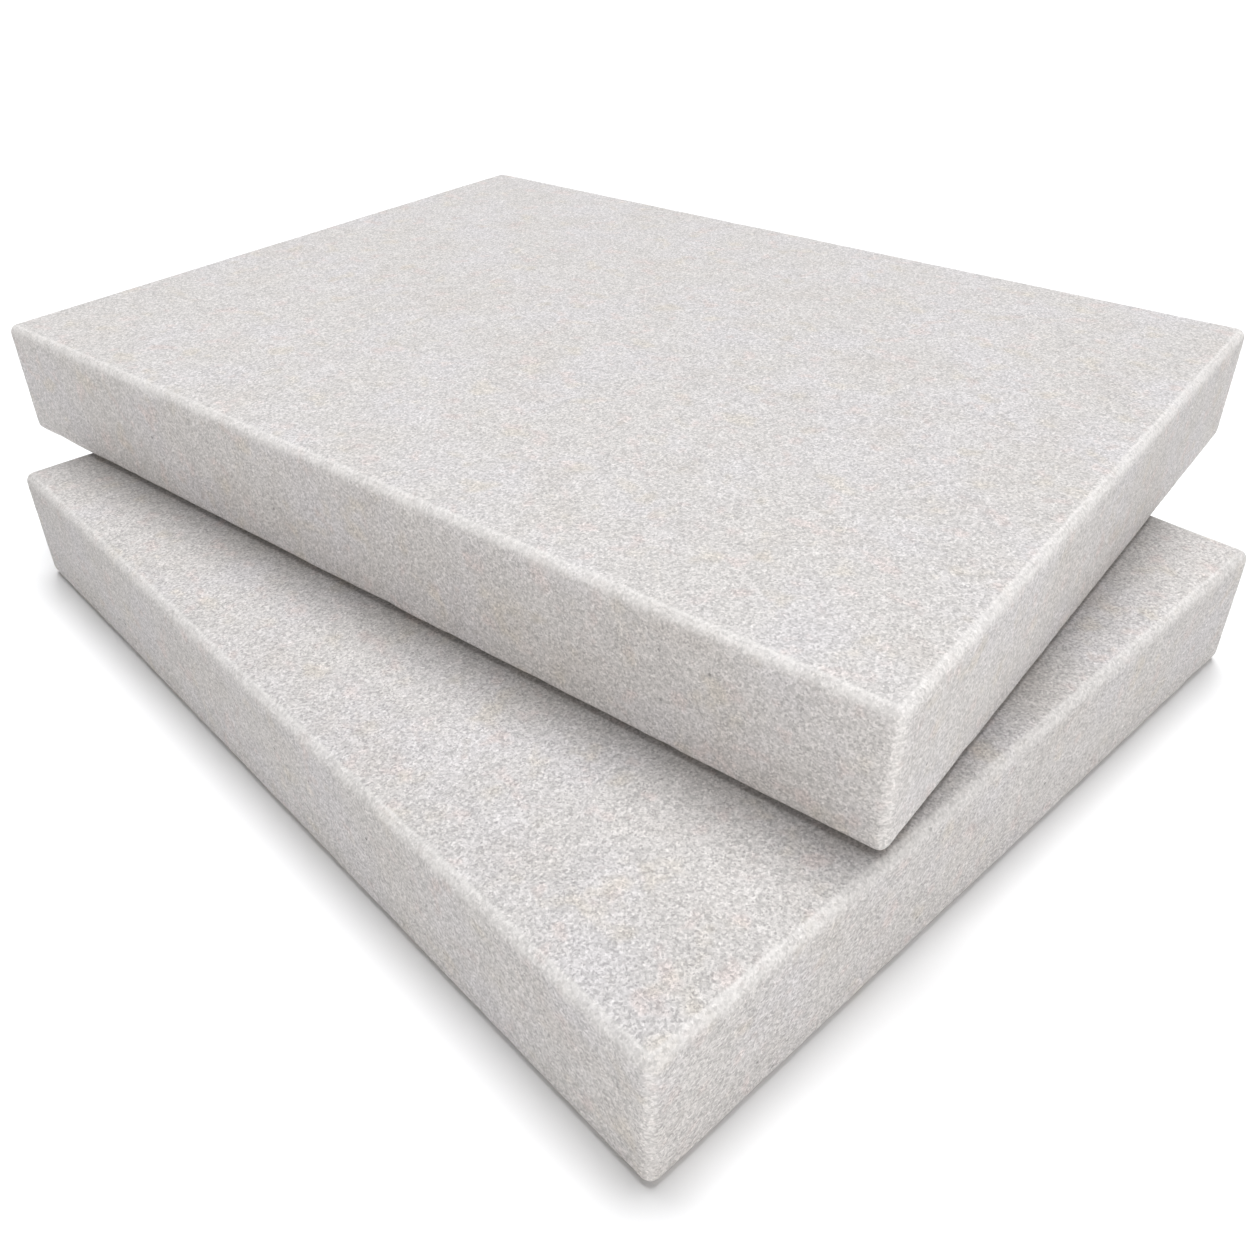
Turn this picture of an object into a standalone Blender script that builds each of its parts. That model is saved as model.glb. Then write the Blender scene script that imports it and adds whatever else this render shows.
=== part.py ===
"""Pair of loose granite slabs for leather stamping: one lies flat on the other, turned a little.

Metres, +Z up. The origin is the centre of the lower slab's underside, +X runs along that slab's
length, and the underside lies on z = 0. Each slab is one block with all of its edges rounded.
"""

import math

import bmesh
import bpy
from mathutils import Matrix, Vector

# Lower slab
LOWER_LENGTH = 0.294
LOWER_WIDTH = 0.238
LOWER_THICKNESS = 0.038

# Upper slab
UPPER_LENGTH = 0.325
UPPER_WIDTH = 0.238
UPPER_THICKNESS = 0.038

# How the upper slab lies on the lower one
UPPER_SHIFT_X = -0.0334
UPPER_SHIFT_Y = 0.0394
UPPER_TURN_DEGREES = 9.0
CONTACT_GAP = 0.0003  # between the two faces that touch

# Worn edges
EDGE_RADIUS = 0.0028
EDGE_SEGMENTS = 5
MAX_EDGE_SHARE = 0.45  # of the slab's smallest side, so that a flat always stays between two edges

# Stone
GRANITE_COLOUR = (0.52, 0.504, 0.497, 1.0)
GRANITE_ROUGHNESS = 0.8
FLAT_ANGLE_DEGREES = 40.0  # faces that meet at less than this are shaded as one surface


def clear_scene():
    for old_object in list(bpy.data.objects):
        bpy.data.objects.remove(old_object, do_unlink=True)


def granite_material(name):
    """Matte, honed granite."""
    material = bpy.data.materials.new(name)
    material.use_nodes = True
    shader = material.node_tree.nodes["Principled BSDF"]
    shader.inputs["Base Color"].default_value = GRANITE_COLOUR
    shader.inputs["Roughness"].default_value = GRANITE_ROUGHNESS
    shader.inputs["Metallic"].default_value = 0.0
    return material


def rounded_block(name, length, width, thickness):
    """Mesh of a block that stands on z = 0, centred on the Z axis, with every edge rounded."""
    block = bmesh.new()
    bmesh.ops.create_cube(block, size=1.0)
    bmesh.ops.scale(block, vec=Vector((length, width, thickness)), verts=block.verts)
    bmesh.ops.translate(block, vec=Vector((0.0, 0.0, thickness / 2.0)), verts=block.verts)
    bmesh.ops.bevel(
        block,
        geom=block.edges[:],
        offset=min(EDGE_RADIUS, MAX_EDGE_SHARE * min(length, width, thickness)),
        offset_type="OFFSET",
        segments=EDGE_SEGMENTS,
        profile=0.5,
        affect="EDGES",
        material=-1,
    )
    mesh = bpy.data.meshes.new(name)
    block.to_mesh(mesh)
    block.free()
    mesh.shade_smooth()
    mesh.set_sharp_from_angle(angle=math.radians(FLAT_ANGLE_DEGREES))
    return mesh


def add_slab(name, length, width, thickness, place):
    """One slab as a named object, with the centre of its underside at the given place."""
    slab = bpy.data.objects.new(name, rounded_block(name, length, width, thickness))
    slab.data.materials.append(granite_material(name))
    slab.matrix_world = place
    bpy.context.scene.collection.objects.link(slab)
    return slab


def add_lower_slab():
    return add_slab("lower_slab", LOWER_LENGTH, LOWER_WIDTH, LOWER_THICKNESS, Matrix.Identity(4))


def add_upper_slab():
    """The loose slab on top. It lifts straight up, so its origin is on that vertical axis."""
    seat = Vector((UPPER_SHIFT_X, UPPER_SHIFT_Y, LOWER_THICKNESS + CONTACT_GAP))
    turn = Matrix.Rotation(math.radians(UPPER_TURN_DEGREES), 4, "Z")
    place = Matrix.Translation(seat) @ turn
    return add_slab("upper_slab", UPPER_LENGTH, UPPER_WIDTH, UPPER_THICKNESS, place)


clear_scene()
add_lower_slab()
add_upper_slab()
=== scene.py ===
import math

import bmesh
import bpy
from mathutils import Euler, Matrix, Vector, noise


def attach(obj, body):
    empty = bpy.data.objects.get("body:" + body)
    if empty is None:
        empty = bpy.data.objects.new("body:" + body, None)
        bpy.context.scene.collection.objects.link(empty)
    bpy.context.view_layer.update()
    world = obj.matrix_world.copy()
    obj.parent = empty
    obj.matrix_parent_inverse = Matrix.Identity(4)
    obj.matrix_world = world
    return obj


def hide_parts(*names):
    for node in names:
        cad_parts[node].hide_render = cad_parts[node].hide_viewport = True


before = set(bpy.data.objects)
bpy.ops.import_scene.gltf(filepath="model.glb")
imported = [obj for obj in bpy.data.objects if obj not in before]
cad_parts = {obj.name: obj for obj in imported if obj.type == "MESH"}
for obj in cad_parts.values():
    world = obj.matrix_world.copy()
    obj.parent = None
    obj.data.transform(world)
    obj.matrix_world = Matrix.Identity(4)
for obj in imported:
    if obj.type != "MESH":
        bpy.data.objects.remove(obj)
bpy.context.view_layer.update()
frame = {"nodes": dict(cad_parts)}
print("frame loaded:", ", ".join(frame["nodes"]))


# Camera

shot = {
    "target": Vector((0.0301, -0.0155, 0.038)),
    "distance": 0.3265,
    "azimuth": 47.40,
    "elevation": 33.02,
    "roll": -0.65,
    "lens": 33.36,
    "shiftDown": 0.048,
}


def addCamera():
    lens = bpy.data.cameras.new("camera")
    lens.sensor_width = 36.0
    lens.lens = shot["lens"]
    lens.shift_y = -shot["shiftDown"]
    lens.clip_start = 0.01
    lens.clip_end = 60.0
    tilt = math.radians(90.0 - shot["elevation"])
    turn = Euler((tilt, 0.0, math.radians(shot["azimuth"]))).to_matrix().to_4x4()
    roll = Matrix.Rotation(math.radians(shot["roll"]), 4, "Z")
    back = Matrix.Translation((0.0, 0.0, shot["distance"]))
    camera = bpy.data.objects.new("camera", lens)
    camera.matrix_world = Matrix.Translation(shot["target"]) @ turn @ back @ roll
    bpy.context.scene.collection.objects.link(camera)
    bpy.context.scene.camera = camera


addCamera()
print("camera placed")


# Floor and light

studio = {
    "floorSide": 24.0,
    "floorDrop": 0.0002,  # keeps the floor just clear of the stone's underside
    "floorColour": (0.95, 0.95, 0.95, 1.0),
    "floorRoughness": 0.9,
    "backdropStrength": 1.0,
    "skyStrength": 0.08,
}

# Soft lights: "from" is an azimuth counted from +X and an elevation, and the width is the apparent one
softLights = {
    "backKey": {"from": (135.0, 75.0), "strength": 3.85, "width": 40.0, "colour": (0.976, 0.985, 1.0)},
    "rightCard": {"from": (0.0, 4.0), "strength": 0.16, "width": 24.0, "colour": (1.0, 1.0, 1.0)},
    "rightBackCard": {"from": (45.0, 25.0), "strength": 0.55, "width": 50.0, "colour": (1.0, 1.0, 1.0)},
}

# Softbox that stands on the floor in front of the slabs' front corner
frontBox = {
    "centre": Vector((1.15, -1.10, 0.26)),
    "aim": Vector((0.14, -0.12, 0.03)),
    "side": 0.50,
    "power": 11.7,
    "colour": (1.0, 0.985, 0.97),
}


def addFloor():
    sheet = bmesh.new()
    bmesh.ops.create_grid(sheet, x_segments=1, y_segments=1, size=studio["floorSide"] / 2.0)
    bmesh.ops.translate(sheet, vec=(0.0, 0.0, -studio["floorDrop"]), verts=sheet.verts)
    mesh = bpy.data.meshes.new("floor")
    sheet.to_mesh(mesh)
    sheet.free()
    floor = bpy.data.objects.new("floor", mesh)
    bpy.context.scene.collection.objects.link(floor)
    paper = bpy.data.materials.new("whitePaper")
    paper.use_nodes = True
    shader = paper.node_tree.nodes["Principled BSDF"]
    shader.inputs["Base Color"].default_value = studio["floorColour"]
    shader.inputs["Roughness"].default_value = studio["floorRoughness"]
    shader.inputs["Specular IOR Level"].default_value = 0.0
    mesh.materials.append(paper)


def addLight():
    world = bpy.data.worlds.new("studio")
    world.use_nodes = True
    nodes = world.node_tree.nodes
    links = world.node_tree.links
    sky = nodes["Background"]
    sky.inputs["Color"].default_value = (1.0, 1.0, 1.0, 1.0)
    seen = nodes.new("ShaderNodeLightPath")
    strength = nodes.new("ShaderNodeMix")  # a white backdrop that gives only a little light
    strength.inputs["A"].default_value = studio["skyStrength"]
    strength.inputs["B"].default_value = studio["backdropStrength"]
    links.new(seen.outputs["Is Camera Ray"], strength.inputs["Factor"])
    links.new(strength.outputs["Result"], sky.inputs["Strength"])
    bpy.context.scene.world = world
    for name, light in softLights.items():
        lamp = bpy.data.lights.new(name, "SUN")
        lamp.energy = light["strength"]
        lamp.angle = math.radians(light["width"])
        lamp.color = light["colour"]
        side, height = (math.radians(angle) for angle in light["from"])
        flat = math.cos(height)
        source = Vector((math.cos(side) * flat, math.sin(side) * flat, math.sin(height)))
        lampObject = bpy.data.objects.new(name, lamp)
        lampObject.rotation_euler = source.to_track_quat("Z", "Y").to_euler()
        lampObject.location = source
        bpy.context.scene.collection.objects.link(lampObject)


def addFrontBox():
    lamp = bpy.data.lights.new("frontBox", "AREA")
    lamp.shape = "SQUARE"
    lamp.size = frontBox["side"]
    lamp.energy = frontBox["power"]
    lamp.color = frontBox["colour"]
    box = bpy.data.objects.new("frontBox", lamp)
    box.location = frontBox["centre"]
    box.rotation_euler = (frontBox["centre"] - frontBox["aim"]).to_track_quat("Z", "Y").to_euler()
    box.visible_camera = False
    bpy.context.scene.collection.objects.link(box)


addFloor()
addLight()
addFrontBox()
bpy.context.scene.view_settings.view_transform = "Standard"
print("floor and light placed")


# Granite

granite = {
    "base": (0.532, 0.511, 0.497),
    "paleWearAndHighlight": (0.656, 0.635, 0.617),  # the paler stone of worn edges, also the colour of the painted highlight along the top edges' crest
    "shine": 0.25,  # strength of the surface's sheen, 0.5 for glass
    "roughness": (0.72, 0.88),  # of the smoothest and the roughest grains
    "grainSize": 0.0011,
    "fineSize": 0.00052,
    "speckleSize": 0.00065,
    "speckleRoughness": 0.7,  # of its noise, from one octave to the next
    "curlSize": 0.0014,
    "blotchSize": 0.0045,
    "grainContrast": 0.08,
    "fineContrast": 0.42,
    "speckleContrast": 0.56,
    "curlContrast": 0.20,
    "blotchContrast": 0.13,
    "curlWidth": 0.045,
    "curlShare": 0.15,  # of the stone that the pale curls cover
    "wobbleLength": 0.0016,  # bends the grains' outlines
    "wobbleReach": 0.0007,
    "pitSpacing": 0.0065,
    "pitRadius": (0.05, 0.09),  # of the bottom and of the rim, as shares of the spacing
    "pitsLeftOut": 0.7,  # share of the places that stay without a pit
    "pitDarkness": 0.35,
    "frayLength": 0.006,
    "frayReach": 0.8,  # how unevenly the worn bands end
    "paleningStart": 0.05,  # level of wear and painted highlight at which the stone starts to pale
    "paleningSmoothing": 0.65,  # share of the mottle lost on worn edges and under the painted highlight
    "fineBump": 0.25,
    "bumpStrength": 0.35,
    "bumpDepth": 0.0002,
}

# Soft clouds of differently coloured stone: each shows from the noise level "start", is strongest at
# "full", and then covers the share "most"; a bent one follows the grains' wobble
tints = {
    "cool": {"colour": (0.541, 0.522, 0.522), "size": 0.030, "detail": 4.0, "roughness": 0.55,
             "start": 0.42, "full": 0.66, "most": 1.0, "bent": False},
    "warm": {"colour": (0.508, 0.474, 0.447), "size": 0.022, "detail": 4.0, "roughness": 0.6,
             "start": 0.50, "full": 0.74, "most": 0.5, "bent": True},
    "pink": {"colour": (0.562, 0.498, 0.478), "size": 0.0075, "detail": 2.0, "roughness": 0.55,
             "start": 0.56, "full": 0.72, "most": 0.7, "bent": False},
    "ochre": {"colour": (0.540, 0.498, 0.444), "size": 0.0095, "detail": 2.0, "roughness": 0.5,
              "start": 0.57, "full": 0.74, "most": 0.6, "bent": True},
}


def graniteMaterial(name, offset, tone):
    material = bpy.data.materials.new(name)
    material.use_nodes = True
    nodes = material.node_tree.nodes
    links = material.node_tree.links
    shader = nodes["Principled BSDF"]
    shader.inputs["Specular IOR Level"].default_value = granite["shine"]

    def feed(socket, value):
        if isinstance(value, bpy.types.NodeSocket):
            links.new(value, socket)
        else:
            socket.default_value = value

    def add(kind, settings=None, **inputs):
        node = nodes.new("ShaderNode" + kind)
        for key, value in (settings or {}).items():
            setattr(node, key, value)
        for key, value in inputs.items():
            feed(node.inputs[key], value)
        return node

    def reckon(operation, first, second=0.0, third=0.0):
        node = add("Math", {"operation": operation})
        for socket, value in zip(node.inputs, (first, second, third)):
            feed(socket, value)
        return node.outputs["Value"]

    def spread(value, low, high, lowOut=0.0, highOut=1.0):
        node = add("MapRange", {"interpolation_type": "SMOOTHSTEP"}, Value=value)
        node.inputs["From Min"].default_value = low
        node.inputs["From Max"].default_value = high
        node.inputs["To Min"].default_value = lowOut
        node.inputs["To Max"].default_value = highOut
        return node.outputs["Result"]

    def mix(factor, first, second, blend="MIX"):
        node = add("Mix", {"data_type": "RGBA", "blend_type": blend})
        feed(node.inputs[0], factor)
        for socket, value in ((node.inputs[6], first), (node.inputs[7], second)):  # the two colours
            feed(socket, (*value, 1.0) if isinstance(value, tuple) else value)
        return node.outputs[2]

    def channel(texture, band):
        return add("SeparateColor", None, Color=texture.outputs["Color"]).outputs[band]

    def around(value, contrast, middle=0.5):
        return reckon("MULTIPLY_ADD", value, contrast, -middle * contrast)

    objectPlace = add("TexCoord").outputs["Object"]
    place = add("Mapping", None, Vector=objectPlace, Location=offset).outputs["Vector"]

    def cloud(size, detail, roughness=0.55, vector=place):
        puffs = add("TexNoise", None, Vector=vector, Scale=1.0 / size, Detail=detail, Roughness=roughness)
        return puffs.outputs["Fac"]

    # mineral grains: every cell has its own brightness
    wobble = add("TexNoise", None, Vector=place, Scale=1.0 / granite["wobbleLength"], Detail=2.0)
    bent = add("VectorMath", {"operation": "MULTIPLY_ADD"})
    feed(bent.inputs[0], wobble.outputs["Color"])
    feed(bent.inputs[1], [granite["wobbleReach"]] * 3)
    feed(bent.inputs[2], place)
    bentPlace = bent.outputs["Vector"]
    grains = channel(add("TexVoronoi", None, Vector=bentPlace, Scale=1.0 / granite["grainSize"]), "Red")
    fineGrains = channel(add("TexVoronoi", None, Vector=bentPlace, Scale=1.0 / granite["fineSize"]), "Green")
    speckle = cloud(granite["speckleSize"], detail=2.0, roughness=granite["speckleRoughness"])
    blotches = cloud(granite["blotchSize"], detail=2.0)

    # pale hairlines that curl between the grains, along the middle level of a cloud
    level = reckon("ABSOLUTE", reckon("SUBTRACT", cloud(granite["curlSize"], detail=1.0), 0.5))
    curls = spread(level, 0.0, granite["curlWidth"], 1.0, 0.0)

    # a few tiny dark pits
    pits = add("TexVoronoi", None, Vector=place, Scale=1.0 / granite["pitSpacing"])
    pitShape = spread(pits.outputs["Distance"], *granite["pitRadius"], 1.0, 0.0)
    pitChosen = reckon("GREATER_THAN", channel(pits, "Blue"), granite["pitsLeftOut"])
    pitMask = reckon("MULTIPLY", pitShape, pitChosen)

    # how much lighter or darker each spot is than the slab's own tone
    mottle = around(grains, granite["grainContrast"])
    mottle = reckon("ADD", mottle, around(fineGrains, granite["fineContrast"]))
    mottle = reckon("ADD", mottle, around(speckle, granite["speckleContrast"]))
    mottle = reckon("ADD", mottle, around(curls, granite["curlContrast"], granite["curlShare"]))
    mottle = reckon("ADD", mottle, around(blotches, granite["blotchContrast"]))
    mottle = reckon("SUBTRACT", mottle, reckon("MULTIPLY", pitMask, granite["pitDarkness"]))

    colour = granite["base"]
    for tint in tints.values():
        tintPlace = bentPlace if tint["bent"] else place
        tintCloud = cloud(tint["size"], tint["detail"], tint["roughness"], tintPlace)
        cover = spread(tintCloud, tint["start"], tint["full"], 0.0, tint["most"])
        colour = mix(cover, colour, tint["colour"])

    # worn edges show paler and smoother stone; the same attribute also carries a painted highlight along the
    # top edges' crest, which pales the stone there
    wear = add("Attribute", {"attribute_name": "edgeWearAndHighlight"}).outputs["Fac"]
    frayedWearAndHighlight = reckon("ADD", wear, around(cloud(granite["frayLength"], detail=4.0), granite["frayReach"]))
    bruiseAndHighlight = spread(frayedWearAndHighlight, granite["paleningStart"], 1.0)
    mottleKept = reckon("MULTIPLY_ADD", bruiseAndHighlight, -granite["paleningSmoothing"], 1.0)
    colour = mix(bruiseAndHighlight, colour, granite["paleWearAndHighlight"])

    brightness = reckon("MULTIPLY_ADD", mottle, mottleKept, tone)
    grey = add("CombineColor", None, Red=brightness, Green=brightness, Blue=brightness).outputs["Color"]
    feed(shader.inputs["Base Color"], mix(1.0, colour, grey, "MULTIPLY"))
    feed(shader.inputs["Roughness"], spread(grains, 0.0, 1.0, *granite["roughness"]))

    height = reckon("MULTIPLY_ADD", fineGrains, granite["fineBump"], speckle)
    height = reckon("SUBTRACT", height, pitMask)
    height = reckon("MULTIPLY", height, mottleKept)
    bump = add("Bump", None, Height=height, Strength=granite["bumpStrength"], Distance=granite["bumpDepth"])
    feed(shader.inputs["Normal"], bump.outputs["Normal"])
    return material


# Slabs

relief = {
    "edgeRadius": 0.0028,
    "edgeSegments": 6,
    "spacing": 0.002,  # of the grid that carries the relief
    "slack": 0.0001,  # allowed when an edge's length is compared
    "wearReach": (0.0034, 0.0034, 0.0058),  # how far in from the ends, the sides and the faces wear fades
    "wearDepth": 0.0004,  # of the deepest scuffs along an edge
    "wearLength": 0.014,
    "chipDepth": 0.0004,  # of the shorter chips, on top of the scuffs
    "chipLength": 0.0055,
    "chipStart": 0.15,  # level of the noise above which stone is chipped off
    "bottomPaleness": 0.35,  # of the worn stone on a bottom edge's ridge, against 1 for the palest
    "topPaleness": 0.78,  # of the worn stone on a top edge's ridge
    "highlightLean": 20.0,  # degrees from level at which the painted highlight on a top edge is brightest
    "faceWave": 0.00004,  # height of the faint unevenness of the faces
    "faceWaveLength": 0.03,
}

# the lower slab's tone of 0.915 darkens all its stone: painted shade that stands in for the dimmer light on
# its sides
slabs = {
    "lowerStone": {"node": "lower_slab", "body": "lower", "slot": "lower_granite", "turn": 0.0,
                   "pattern": (0.31, 0.12, 0.45), "tone": 0.915},
    "upperStone": {"node": "upper_slab", "body": "upper", "slot": "upper_granite", "turn": 9.0,
                   "pattern": (1.73, 0.88, 0.20), "tone": 1.0},
}


def slabPlace(node, turn):
    # the slab's own sides and centre, read from the frame by turning it back square
    square = Matrix.Rotation(-math.radians(turn), 3, "Z")
    points = [square @ vertex.co for vertex in frame["nodes"][node].data.vertices]
    low = Vector([min(point[axis] for point in points) for axis in range(3)])
    high = Vector([max(point[axis] for point in points) for axis in range(3)])
    return high - low, square.inverted() @ ((low + high) / 2.0)


def gridBlock(size):
    block = bmesh.new()
    bmesh.ops.create_cube(block, size=1.0)
    bmesh.ops.scale(block, vec=size, verts=block.verts)
    bmesh.ops.bevel(block, geom=block.edges[:], offset=relief["edgeRadius"], offset_type="OFFSET",
                    segments=relief["edgeSegments"], profile=0.5, affect="EDGES", material=-1)
    for axis in range(3):
        straight = size[axis] - 2.0 * relief["edgeRadius"]
        runs = [edge for edge in block.edges
                if abs(abs((edge.verts[0].co - edge.verts[1].co)[axis]) - straight) < relief["slack"]]
        cuts = round(straight / relief["spacing"]) - 1
        bmesh.ops.subdivide_edges(block, edges=runs, cuts=cuts, use_grid_fill=True)
    return block


def wearAt(point, size):
    # 1 on an edge's ridge, 0 past the reach; the second smallest share of the reach says how near it is
    depths = sorted((size[axis] / 2.0 - abs(point[axis])) / relief["wearReach"][axis] for axis in range(3))
    reach = max(0.0, 1.0 - depths[1])
    return reach * reach * (3.0 - 2.0 * reach)


def highlightCrestAt(normal):
    # painted highlight: 1 where a rounded edge starts to fall away from the upper face, 0 on flats and past
    # the ridge
    lean = math.degrees(math.acos(max(-1.0, min(1.0, normal.z))))
    return max(0.0, 1.0 - abs(lean - relief["highlightLean"]) / relief["highlightLean"])


# scuffs and chips the edges, and stores their worn paleness together with a painted highlight along the top
# edges' crest
def wearStoneAndPaintHighlight(block, size, offset):
    block.normal_update()
    wearAndHighlightLayer = block.verts.layers.float.new("edgeWearAndHighlight")
    moves = []
    for vertex in block.verts:
        wear = wearAt(vertex.co, size)
        place = vertex.co + offset
        wave = noise.noise(place / relief["faceWaveLength"]) * relief["faceWave"]
        scuff = 0.5 + 0.5 * noise.noise(place / relief["wearLength"])
        chip = max(0.0, noise.noise(place / relief["chipLength"]) - relief["chipStart"])
        inward = wear * (relief["wearDepth"] * scuff + relief["chipDepth"] * chip)
        moves.append(vertex.normal * (wave - inward))
        height = 0.5 + vertex.co.z / size.z
        paleness = wear * (relief["bottomPaleness"] * (1.0 - height) + height * relief["topPaleness"])
        # stores the worn paleness, raised to the painted highlight along a top edge's crest where that is
        # stronger
        vertex[wearAndHighlightLayer] = max(paleness, highlightCrestAt(vertex.normal))
    for vertex, move in zip(block.verts, moves):
        vertex.co += move


def addSlab(name, slab):
    size, centre = slabPlace(slab["node"], slab["turn"])
    offset = Vector(slab["pattern"])
    block = gridBlock(size)
    wearStoneAndPaintHighlight(block, size, offset)
    turn = Matrix.Rotation(math.radians(slab["turn"]), 4, "Z")
    bmesh.ops.transform(block, matrix=Matrix.Translation(centre) @ turn, verts=block.verts)
    mesh = bpy.data.meshes.new(name)
    block.to_mesh(mesh)
    block.free()
    mesh.shade_smooth()
    mesh.materials.append(graniteMaterial(name + "Granite", offset, slab["tone"]))
    stone = bpy.data.objects.new(name, mesh)
    bpy.context.scene.collection.objects.link(stone)
    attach(stone, slab["body"])
    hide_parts(slab["node"])
    print(name, "made with", len(mesh.polygons), "faces")


for name, slab in slabs.items():
    addSlab(name, slab)
